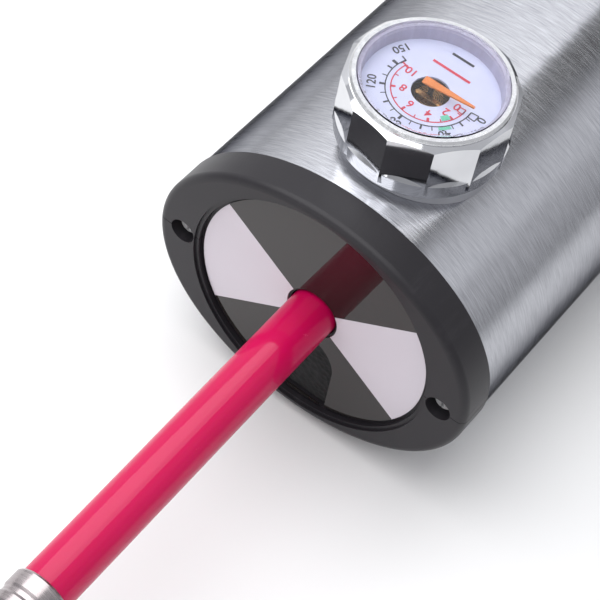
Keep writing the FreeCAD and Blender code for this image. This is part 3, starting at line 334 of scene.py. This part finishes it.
def soft_black(name, tone="141416", light="2b2b2e", rough=0.6):
    """Rubber or matt moulding with a dusty bloom."""
    f = Finish(name, IOR=1.48)
    dust = f.grain(420, 4.0, 0.7)
    pits = f.grain(2000, 2.0)
    f.set("Base Color", f.blend(f.span(dust, 0.0, 1.0, 0.35, 0.8), paint(tone), paint(light)))
    f.set("Roughness", f.span(dust, rough - 0.08, rough + 0.1))
    f.bump((pits, 0.015))
    return f.material


def open_foam():
    """Open-cell filter foam behind the intake."""
    f = Finish("filter_foam", Roughness=0.9)
    voronoi = f.add("ShaderNodeTexVoronoi", {"Vector": f.spread(900, 900, 900), "Scale": 1.0})
    cells = voronoi.outputs["Distance"]
    f.set("Base Color", f.blend(cells, paint("020202"), paint("1a1a1c")))
    f.bump((cells, 0.3))
    return f.material


def wound_copper():
    f = Finish("copper_winding", Metallic=1.0, Roughness=0.3)
    wires = f.add("ShaderNodeTexWave", {"Vector": f.place, "Scale": 900.0, "Distortion": 1.0})
    f.set("Base Color", f.blend(wires.outputs["Fac"], paint("7a3413"), paint("d98045")))
    f.bump((wires.outputs["Fac"], 0.15))
    return f.material


def plastic(name, code, light, rough=0.45):
    f = Finish(name)
    tint = f.grain(300, 3.0)
    f.set("Base Color", f.blend(tint, paint(code), paint(light)))
    f.set("Roughness", f.span(tint, rough - 0.05, rough + 0.05))
    f.bump((tint, 0.02))
    return f.material


def dress_cad():
    """Give every CAD node the finish of its slot."""
    finishes = {
        "brushed_tube": brushed_tube(),
        "black_shell": moulded_black(),
        "black_inner": moulded_black("inner_black", "17171a", 0.5),
        "label_print": label_print(),
        "filter_foam": open_foam(),
        "black_rubber": soft_black("black_rubber"),
        "red_hose": hose_red(),
        "crimped_steel": turned_metal("crimped_steel", "8d8586", "d6cecf", 0.26),
        "brass_fitting": turned_metal("brass_fitting", "a9854a", "e2c88c", 0.26),
        "chrome_plate": polished_chrome(),
        "clear_crystal": clear_crystal(),
        "dial_print": dial_face(),
        "pointer_paint": pointer_finish(),
        "cast_alloy": turned_metal("cast_alloy", "77787c", "a9aaad", 0.5, (500, 500, 500)),
        "turned_alloy": turned_metal("turned_alloy", "9b9ca0", "cfd0d3", 0.3),
        "zinc_screw": turned_metal("zinc_screw", "b9b9bb", "efefee", 0.3, (900, 60, 900), 0.6),
        "motor_steel": turned_metal("motor_steel", "85868a", "c4c5c8", 0.34),
        "magnet_ferrite": plastic("magnet_ferrite", "2b2b2d", "3c3c3e", 0.7),
        "core_steel": turned_metal("core_steel", "5d5e62", "8c8d90", 0.45, (60, 2000, 60)),
        "copper_winding": wound_copper(),
        "gear_nylon": plastic("gear_nylon", "d8d2bd", "ebe6d6"),
        "seal_ptfe": plastic("seal_ptfe", "d9d9d6", "f1f1ee", 0.35),
    }
    own = {
        # The movement's bronze is darkened to paint the shade that falls inside the gauge under the
        # dial.
        "gauge_movement": turned_metal("movement_bronze_painted_shade", "2e2118", "6b4f36", 0.45, (60, 900, 60)),
        "gauge_bezel": turned_metal("bezel_chrome", "cfd0d2", "ffffff", 0.2, (1500, 1500, 1500)),
        # The gasket's light grey paints the tube's reflection seen under the gauge's skirt.
        "gauge_gasket": plastic("gasket_grey_painted_reflection", "8d8e94", "a3a4aa", 0.4),
    }
    for name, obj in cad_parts.items():
        for holder in obj.material_slots:
            holder.material = own.get(name) or finishes[holder.material.name.split(".")[0]]
    return finishes


# ---------------------------------------------------------------- dial printing

BLACK_ARC = 7.35 * MM
RED_ARC = 6.45 * MM
SCALE_ZERO = math.radians(3.6)
BLACK_SWEEP = math.radians(196)
RED_SWEEP = math.radians(200)
INK_RISE = 0.03 * MM
INK_THICKNESS = 0.02 * MM
LINE_HALF_WIDTH = 0.10 * MM
DASH_HALF_WIDTH = 0.25 * MM
BLACK_BOX_HEIGHT = 1.35 * MM
RED_BOX_HEIGHT = 1.0 * MM
BOX_SIDE_WIDTH = 0.2 * MM


def black_angle(pressure):
    return SCALE_ZERO - BLACK_SWEEP * (pressure / 150) ** 1.12


def red_angle(pressure):
    return SCALE_ZERO - RED_SWEEP * (pressure / 10) ** 1.26


def polar(radius, angle):
    """A point on the dial, from the gauge's axis."""
    return Vector((GAUGE_CENTRE.x + radius * math.cos(angle),
                   GAUGE_CENTRE.y + radius * math.sin(angle)))


def mesh_piece(name, made, material, body):
    """Turn a bmesh into a named piece that rides on a body."""
    bmesh.ops.recalc_face_normals(made, faces=made.faces)
    data = bpy.data.meshes.new(name)
    made.to_mesh(data)
    made.free()
    data.materials.append(material)
    obj = bpy.data.objects.new(name, data)
    bpy.context.scene.collection.objects.link(obj)
    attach(obj, body)
    return obj


def band(made, inner, outer, start, end, height):
    """A flat printed strip from one angle to another between two radii."""
    steps = max(1, int(abs(end - start) / math.radians(3)))
    rows = []
    for index in range(steps + 1):
        angle = start + (end - start) * index / steps
        low, high = polar(inner, angle), polar(outer, angle)
        rows.append([made.verts.new((*spot, level)) for level in (height, height + INK_THICKNESS)
                     for spot in (low, high)])
    for first, second in zip(rows, rows[1:]):
        for a, b in ((0, 1), (1, 3), (3, 2), (2, 0)):
            made.faces.new((first[a], first[b], second[b], second[a]))
    for row in (rows[0], rows[-1]):
        made.faces.new((row[0], row[1], row[3], row[2]))


def bar(made, inner, outer, angle, width, height):
    """A short straight printed tick on the radius."""
    turn = width / 2 / ((inner + outer) / 2)
    band(made, inner, outer, angle - turn, angle + turn, height)


def add_dash(made, rise, length, level):
    """A plain printed dash that lies across the dial, above its centre."""
    half = length / 2
    corners = ((-half, rise - DASH_HALF_WIDTH), (half, rise - DASH_HALF_WIDTH),
               (half, rise + DASH_HALF_WIDTH), (-half, rise + DASH_HALF_WIDTH))
    low, high = [[made.verts.new((GAUGE_CENTRE.x + x, GAUGE_CENTRE.y + y, height))
                  for x, y in corners]
                 for height in (level, level + INK_THICKNESS)]
    made.faces.new(low)
    made.faces.new(high)
    for index in range(4):
        after = (index + 1) % 4
        made.faces.new((low[index], low[after], high[after], high[index]))


def add_scale():
    """The two printed scales with their zero boxes, and the green zones between them."""
    level = DIAL_TOP + INK_RISE
    black = bmesh.new()
    band(black, BLACK_ARC - LINE_HALF_WIDTH, BLACK_ARC + LINE_HALF_WIDTH, black_angle(0),
         black_angle(150), level)
    for pressure in range(10, 150, 10):
        named = pressure in (40, 80, 120)
        middling = pressure % 20 == 0
        reach = 0.95 * MM if named or middling else 0.85 * MM
        width = 0.42 * MM if named else 0.3 * MM if middling else 0.16 * MM
        bar(black, BLACK_ARC, BLACK_ARC + reach, black_angle(pressure), width, level)
    start, full = black_angle(0), black_angle(150)
    box_start, box_end = start - math.radians(6), start + math.radians(3)
    for radius in (BLACK_ARC, BLACK_ARC + BLACK_BOX_HEIGHT):
        band(black, radius - LINE_HALF_WIDTH, radius + LINE_HALF_WIDTH, box_start, box_end,
             level)
    for angle in (box_start, box_end):
        bar(black, BLACK_ARC, BLACK_ARC + BLACK_BOX_HEIGHT, angle, BOX_SIDE_WIDTH, level)
    bar(black, BLACK_ARC - LINE_HALF_WIDTH, BLACK_ARC + 1.1 * MM, full + math.radians(4),
        0.5 * MM, level)
    band(black, BLACK_ARC - 0.22 * MM, BLACK_ARC + 0.1 * MM, full - math.radians(9), full, level)
    bar(black, BLACK_ARC - 0.2 * MM, BLACK_ARC + 1.0 * MM, full - math.radians(9), 0.25 * MM, level)
    add_dash(black, 9.3 * MM, 4.2 * MM, level)
    mesh_piece("dial_scale_black", black, ink("ink_black", "26262b", "3c3c44"), "pump_body")

    red = bmesh.new()
    band(red, RED_ARC - LINE_HALF_WIDTH, RED_ARC + LINE_HALF_WIDTH, red_angle(0),
         red_angle(10), level)
    for pressure in range(1, 11):
        named = pressure % 2 == 0
        width = 0.42 * MM if named else 0.18 * MM
        reach = 0.8 * MM if named else 0.65 * MM
        bar(red, RED_ARC - reach, RED_ARC, red_angle(pressure), width, level)
    start, full = red_angle(0), red_angle(10)
    box_start, box_end = start - math.radians(8), start + math.radians(2)
    for radius in (RED_ARC - RED_BOX_HEIGHT, RED_ARC):
        band(red, radius - LINE_HALF_WIDTH, radius + LINE_HALF_WIDTH, box_start, box_end, level)
    for angle in (box_start, box_end):
        bar(red, RED_ARC - RED_BOX_HEIGHT, RED_ARC, angle, BOX_SIDE_WIDTH, level)
    bar(red, RED_ARC, RED_ARC + 0.75 * MM, full, 0.3 * MM, level)
    add_dash(red, 5.9 * MM, 7.2 * MM, level)
    mesh_piece("dial_scale_red", red, ink("ink_red", "d81f36", "e0455a"), "pump_body")

    green = bmesh.new()
    band(green, BLACK_ARC + 0.15 * MM, BLACK_ARC + 0.75 * MM, black_angle(44), black_angle(32),
         level + INK_RISE)
    band(green, RED_ARC - 1.2 * MM, RED_ARC - 0.2 * MM, red_angle(2.9), red_angle(2.1),
         level + INK_RISE)
    mesh_piece("dial_zones", green, ink("ink_green", "5fc79f", "7fd8b6"), "pump_body")


def lathe(name, profile, material, steps=128):
    """A ring or disc turned about the gauge's axis from (radius, height) points in millimetres."""
    made = bmesh.new()
    rows = []
    for radius, height in profile:
        if radius == 0:
            rows.append([made.verts.new((GAUGE_CENTRE.x, GAUGE_CENTRE.y, height * MM))] * steps)
            continue
        rows.append([made.verts.new((*polar(radius * MM, math.tau * turn / steps), height * MM))
                     for turn in range(steps)])
    closed = profile[0][0] > 0
    pairs = list(zip(rows, rows[1:])) + ([(rows[-1], rows[0])] if closed else [])
    for first, second in pairs:
        for turn in range(steps):
            after = (turn + 1) % steps
            corners = [first[turn], first[after], second[after], second[turn]]
            made.faces.new(list(dict.fromkeys(corners)))
    return mesh_piece(name, made, material, "pump_body")


# The crystal, in millimetres: its turning rings, which start this far inside the rim and go
# outwards, its flat pane, and how far below the top its wall ends.
RIDGE_INSET = 0.55
RIDGE_PITCH = 0.16
RIDGE_DEPTH = 0.03
PANE_THICKNESS = 0.9
WALL_DROP = 0.92


def add_crystal(clear):
    """The window with the turning rings near its rim, on a milky wall that stands on the dial."""
    top, foot = CRYSTAL_HIGH.z / MM, CRYSTAL_LOW.z / MM
    edge = CRYSTAL_RADIUS / MM
    profile = [(0, top)]
    for step in range(3):
        radius = edge - RIDGE_INSET + RIDGE_PITCH * step
        drop = 0.008 * step * step
        profile += [(radius, top - drop), (radius + 0.05, top - drop - RIDGE_DEPTH),
                    (radius + 0.1, top - drop)]
    profile += [(edge - 0.1, top - 0.35), (edge, top - 0.5), (edge, top - PANE_THICKNESS),
                (0, top - PANE_THICKNESS)]
    window = lathe("gauge_window", profile, clear)
    wall = [(edge - 1.0, foot), (edge, foot), (edge, top - WALL_DROP),
            (edge - 0.75, top - WALL_DROP), (edge - 0.85, top - 1.3), (edge - 0.92, top - 1.35)]
    milky = Finish("crystal_wall", Roughness=0.3, IOR=1.45)
    lines = milky.noise(900, 900, 60, 3.0, 0.6)
    milky.set("Base Color", milky.blend(lines, paint("a5a0b2"), paint("cdc9dc")))
    ring = lathe("gauge_window_wall", wall, milky.material)
    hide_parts("gauge_crystal")
    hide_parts("gauge_crystal")


# The hairspring, in millimetres.
SPRING_START = 0.85
SPRING_GROWTH = 1.75
SPRING_DEPTH = 1.45
SPRING_WIRE_RADIUS = 0.06


def add_movement():
    """What shows through the hole in the dial: a rounded link and the hairspring."""
    bronze = turned_metal("link_bronze", "8a6238", "e2b880", 0.3, (4000, 4000, 4000))
    made = bmesh.new()
    left, right, back, front = -2.2 * MM, 3.0 * MM, -0.62 * MM, -1.62 * MM
    radius = (back - front) / 2
    outline = []
    for centre, start in ((right - radius, -90), (left + radius, 90)):
        for turn in range(13):
            angle = math.radians(start + 15 * turn)
            outline.append(Vector((GAUGE_CENTRE.x + centre + radius * math.cos(angle),
                                   GAUGE_CENTRE.y + (back + front) / 2
                                   + radius * math.sin(angle), 0)))
    link_middle = Vector((GAUGE_CENTRE.x + (left + right) / 2,
                          GAUGE_CENTRE.y + (back + front) / 2, 0))
    rows = []
    for pull, drop in ((1.0, 1.1), (1.0, 0.35), (0.93, 0.18), (0.8, 0.1)):
        level = Vector((0, 0, DIAL_TOP - drop * MM))
        rows.append([made.verts.new(link_middle.lerp(spot, pull) + level) for spot in outline])
    for first, second in zip(rows, rows[1:]):
        for turn in range(len(outline)):
            after = (turn + 1) % len(outline)
            made.faces.new((first[turn], first[after], second[after], second[turn]))
    made.faces.new(rows[0])
    made.faces.new(rows[-1])
    mesh_piece("gauge_link", made, bronze, "pump_body")

    data = bpy.data.curves.new("gauge_hairspring", "CURVE")
    data.dimensions = "3D"
    spline = data.splines.new("NURBS")
    turns, steps = 5, 16
    spline.points.add(turns * steps)
    for index, point in enumerate(spline.points):
        share = index / (turns * steps)
        spot = polar((SPRING_START + SPRING_GROWTH * share) * MM, math.tau * turns * share)
        point.co = (*spot, DIAL_TOP - SPRING_DEPTH * MM, 1)
    spline.order_u = 3
    spline.use_endpoint_u = True
    data.bevel_depth = SPRING_WIRE_RADIUS * MM
    data.bevel_resolution = 2
    data.materials.append(bronze)
    spring = bpy.data.objects.new("gauge_hairspring", data)
    bpy.context.scene.collection.objects.link(spring)
    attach(spring, "pump_body")


def add_numeral(name, text, radius, angle, size, top, material):
    """A printed number whose top points in the direction given."""
    data = bpy.data.curves.new(name, "FONT")
    data.body = text
    data.size = size
    data.align_x = "CENTER"
    data.align_y = "CENTER"
    data.offset = 0.03 * MM
    data.extrude = 0.01 * MM
    data.materials.append(material)
    obj = bpy.data.objects.new(name, data)
    spot = polar(radius, angle)
    turn = Matrix.Rotation(top - math.pi / 2, 4, "Z")
    obj.matrix_world = Matrix.Translation((spot.x, spot.y, DIAL_TOP + INK_RISE)) @ turn
    bpy.context.scene.collection.objects.link(obj)
    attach(obj, "pump_body")


NUMERAL_SIZE = 2.1 * MM
LAST_NUMERAL_ANGLE = math.radians(154)


def add_numerals():
    """Black numbers stand outward, the last one turned over; red ones all face the hose."""
    black = ink("numeral_black", "26262b", "3c3c44")
    red = ink("numeral_red", "d81f36", "e0455a")
    for pressure, radius in ((0, 9.4), (40, 8.9), (80, 9.2), (120, 9.5), (150, 9.9)):
        angle = LAST_NUMERAL_ANGLE if pressure == 150 else black_angle(pressure)
        top = angle + math.pi if pressure == 150 else angle
        add_numeral("dial_black_%d" % pressure, str(pressure), radius * MM, angle,
                    NUMERAL_SIZE, top, black)
    for pressure, radius in ((0, 5.0), (2, 4.6), (4, 4.7), (6, 4.5), (8, 4.4), (10, 4.9)):
        add_numeral("dial_red_%d" % pressure, str(pressure), radius * MM, red_angle(pressure),
                    NUMERAL_SIZE, -math.pi / 2, red)


def strip(made, rows, lift):
    """A raised strip through pairs of points, closed when its last row is the first."""
    ring = rows[0][0] == rows[-1][0]
    levels = [[made.verts.new(spot) for spot in (near, far, far + lift, near + lift)]
              for near, far in (rows[:-1] if ring else rows)]
    if ring:
        levels.append(levels[0])
    for first, second in zip(levels, levels[1:]):
        for edge in range(4):
            after = (edge + 1) % 4
            made.faces.new((first[edge], first[after], second[after], second[edge]))
    if not ring:
        made.faces.new(levels[0])
        made.faces.new(levels[-1])


def add_switch_marks():
    """The usual bar and ring, printed on the two flat halves of the rocker."""
    white = ink("mark_white", "cfcfcb", "efefec")
    flats = [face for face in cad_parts["switch_rocker"].data.polygons
             if face.normal.y > 0.9 and face.area > 20 * MM * MM]
    for name, side in (("switch_mark_bar", -1), ("switch_mark_ring", 1)):
        half = [face for face in flats if face.center.x * side > 0]
        centre = sum((face.center for face in half), Vector()) / len(half)
        lift = half[0].normal * 0.04 * MM
        rise = Vector((0, 0, MM))
        across = half[0].normal.cross(rise)
        made = bmesh.new()
        if side < 0:
            rows = [(centre - across * 0.28 + rise * end, centre + across * 0.28 + rise * end)
                    for end in (-1.5, 1.5)]
        else:
            turns = [math.tau * turn / 48 for turn in range(48)] + [0.0]
            ways = [across * math.cos(angle) + rise * math.sin(angle) for angle in turns]
            rows = [(centre + way * 1.0, centre + way * 1.5) for way in ways]
        strip(made, rows, lift)
        mesh_piece(name, made, white, "rocker")


# ---------------------------------------------------------------- floor, light and world

FLOOR_REACH = 3.0


def add_floor():
    """A plain pale sheet that the feet stand on."""
    made = bmesh.new()
    corners = [made.verts.new((x * FLOOR_REACH, y * FLOOR_REACH, 0.0))
               for x, y in ((-1, -1), (1, -1), (1, 1), (-1, 1))]
    made.faces.new(corners)
    data = bpy.data.meshes.new("floor")
    made.to_mesh(data)
    made.free()
    f = Finish("floor_paper", Roughness=0.9)
    f.set("Base Color", f.blend(f.grain(3, 2.0), paint("dfdfdf"), paint("e3e3e3")))
    data.materials.append(f.material)
    floor = bpy.data.objects.new("floor", data)
    bpy.context.scene.collection.objects.link(floor)


def add_light(name, place, aim, size, power):
    """A rectangular area light; its size is in metres and its power in watts."""
    data = bpy.data.lights.new(name, "AREA")
    data.shape = "RECTANGLE"
    data.size, data.size_y = size
    data.energy = power
    light = bpy.data.objects.new(name, data)
    light.location = place
    light.rotation_euler = (Vector(place) - Vector(aim)).to_track_quat("Z", "Y").to_euler()
    bpy.context.scene.collection.objects.link(light)


# The studio's brightness: (part of the way up, shade), and behind the pump (way across, shade).
SKY_HEIGHTS = ((0.0, 0.38), (0.35, 0.62), (1.0, 0.66))
SKY_ACROSS = ((-1.0, 0.75), (-0.55, 1.0), (-0.35, 1.12), (-0.02, 1.1), (0.01, 0.1), (0.12, 0.0),
              (0.20, 0.06), (0.30, 0.34), (0.42, 0.72), (0.65, 0.86), (0.8, 0.5), (1.0, 0.4))


def add_world():
    """Soft grey studio: a large white panel behind on the left, a gap, and a weaker one right."""
    world = bpy.data.worlds.new("studio")
    world.use_nodes = True
    tree = world.node_tree
    split = tree.nodes.new("ShaderNodeSeparateXYZ")
    tree.links.new(tree.nodes.new("ShaderNodeTexCoord").outputs["Generated"], split.inputs[0])

    def span(value, low, high):
        made = tree.nodes.new("ShaderNodeMapRange")
        made.interpolation_type = "SMOOTHSTEP"
        tree.links.new(value, made.inputs["Value"])
        made.inputs["From Min"].default_value = low
        made.inputs["From Max"].default_value = high
        return made.outputs[0]

    def ramp(value, stops, low):
        made = tree.nodes.new("ShaderNodeMapRange")
        tree.links.new(value, made.inputs["Value"])
        made.inputs["From Min"].default_value = low
        shades = tree.nodes.new("ShaderNodeValToRGB")
        tree.links.new(made.outputs[0], shades.inputs[0])
        points = shades.color_ramp.elements
        while len(points) < len(stops):
            points.new(0.5)
        for point, (place, shade) in zip(points, stops):
            point.position = (place - low) / (1 - low)
            point.color = (shade, shade * 1.01, shade * 1.05, 1)
        return shades.outputs[0]

    behind = tree.nodes.new("ShaderNodeMath")
    behind.operation = "MULTIPLY"
    tree.links.new(span(split.outputs["Y"], 0.15, 0.4), behind.inputs[0])
    tree.links.new(span(split.outputs["Z"], 0.36, 0.52), behind.inputs[1])
    mix = tree.nodes.new("ShaderNodeMix")
    mix.data_type = "RGBA"
    tree.links.new(behind.outputs[0], mix.inputs[0])
    tree.links.new(ramp(split.outputs["Z"], SKY_HEIGHTS, 0.0), mix.inputs[6])
    tree.links.new(ramp(split.outputs["X"], SKY_ACROSS, -1.0), mix.inputs[7])
    tree.links.new(mix.outputs[2], tree.nodes["Background"].inputs["Color"])
    bpy.context.scene.world = world


def add_studio():
    add_light("overhead_softbox", (-0.27, -0.15, 0.56), (-0.27, -0.15, 0), (0.88, 0.7), 5.4)
    add_light("front_fill", (-0.35, -1.25, 0.35), tuple(TUBE_CENTRE), (0.9, 0.5), 2.5)
    add_light("left_wall", (-0.85, 0.5, 0.3), tuple(TUBE_CENTRE), (1.3, 0.55), 1.0)
    add_world()
    bpy.context.scene.view_settings.view_transform = "Standard"


add_camera()
add_hose()
finishes = dress_cad()
add_crystal(finishes["clear_crystal"])
add_movement()
add_scale()
add_numerals()
add_switch_marks()
add_floor()
add_studio()
